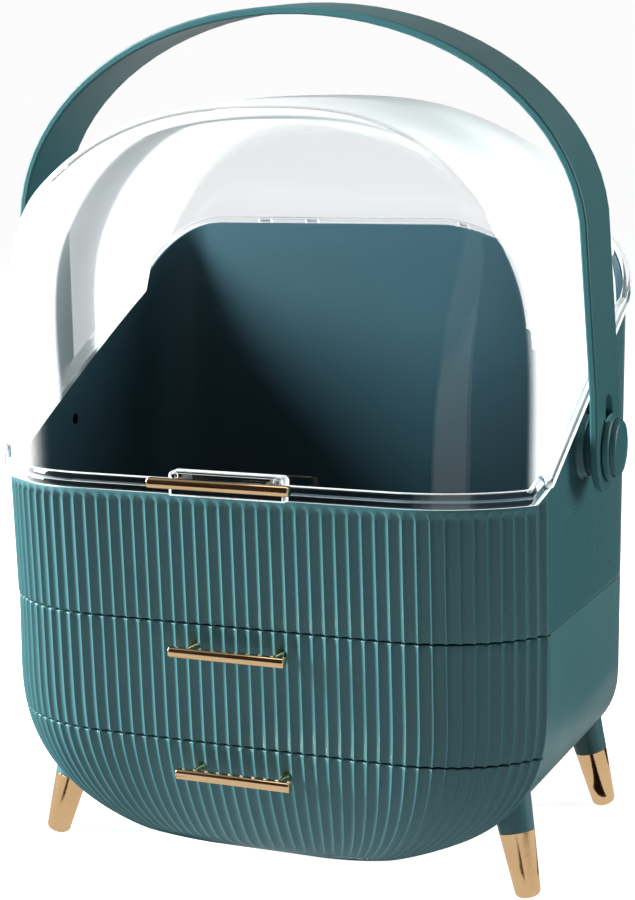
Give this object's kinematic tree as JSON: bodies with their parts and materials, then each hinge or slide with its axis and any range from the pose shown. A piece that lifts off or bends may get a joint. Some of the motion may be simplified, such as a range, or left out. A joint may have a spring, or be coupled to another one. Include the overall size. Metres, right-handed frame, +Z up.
{
  "type": "vanity organizer box with drawers",
  "caption": "Fluted make-up organizer on splayed legs: clear hinged dome over an open compartment, stacked drawers with bar pulls below, and a strap carrying handle that swings and drops.",
  "frame": {"origin": "bottom centre of the box round the whole part, on the floor under the middle of the case", "axes": "+Z up, +X to the right of someone facing the drawers from the front, +Y towards the back; the drawers open towards -Y"},
  "size_m": [0.319, 0.2366, 0.4256],
  "materials": {
    "teal_body": "satin moulded plastic",
    "teal_inner": "matte moulded plastic",
    "clear_dome": "clear glossy plastic",
    "gold_metal": "polished gold-coloured metal",
    "steel": "plain steel"
  },
  "bodies": {
    "case": {"upper_case": "teal_body", "lower_case": "teal_body", "drawer_shelf": "teal_inner", "hinge_pins": "steel", "pivot_pin_left": "steel", "pivot_pin_right": "steel", "leg_front_left": "teal_body", "leg_front_right": "teal_body", "leg_back_left": "teal_body", "leg_back_right": "teal_body", "ferrule_front_left": "gold_metal", "ferrule_front_right": "gold_metal", "ferrule_back_left": "gold_metal", "ferrule_back_right": "gold_metal", "leg_studs": "steel", "case_screws": "steel"},
    "lid": {"lid": "clear_dome", "lid_pull": "gold_metal", "lid_pull_screws": "steel"},
    "upper_drawer": {"upper_drawer_front": "teal_body", "upper_drawer_tray": "teal_inner", "upper_drawer_pull": "gold_metal", "upper_pull_screws": "steel", "upper_tray_screws": "steel"},
    "lower_drawer": {"lower_drawer_front": "teal_body", "lower_drawer_tray": "teal_inner", "lower_drawer_pull": "gold_metal", "lower_pull_screws": "steel", "lower_tray_screws": "steel"},
    "handle_hubs": {"pivot_hub_left": "teal_inner", "pivot_hub_right": "teal_inner", "pivot_disc_left": "teal_inner", "pivot_disc_right": "teal_inner", "pivot_cap_left": "teal_body", "pivot_cap_right": "teal_body"},
    "handle": {"handle_strap": "teal_body"}
  },
  "joints": [
    {"name": "lid_open", "type": "hinge", "parent": "case", "child": "lid", "pos_m": [0, 0.11435, 0.308], "axis": [-1, 0, 0], "range_deg": [0, 50]},
    {"name": "handle_swing", "type": "hinge", "parent": "case", "child": "handle_hubs", "pos_m": [0, -0.00095, 0.213], "axis": [-1, 0, 0], "range_deg": [0, 120]},
    {"name": "handle_drop", "type": "slide", "parent": "handle_hubs", "child": "handle", "axis": [0, 0.1106, -0.9939], "range_m": [0, 0.014]},
    {"name": "upper_drawer_slide", "type": "slide", "parent": "case", "child": "upper_drawer", "axis": [0, -1, 0], "range_m": [0, 0.11]},
    {"name": "lower_drawer_slide", "type": "slide", "parent": "case", "child": "lower_drawer", "axis": [0, -1, 0], "range_m": [0, 0.11]}
  ],
  "couplings": [
    {"joint": "handle_swing", "follows": "lid_open", "ratio": 2.4}
  ]
}
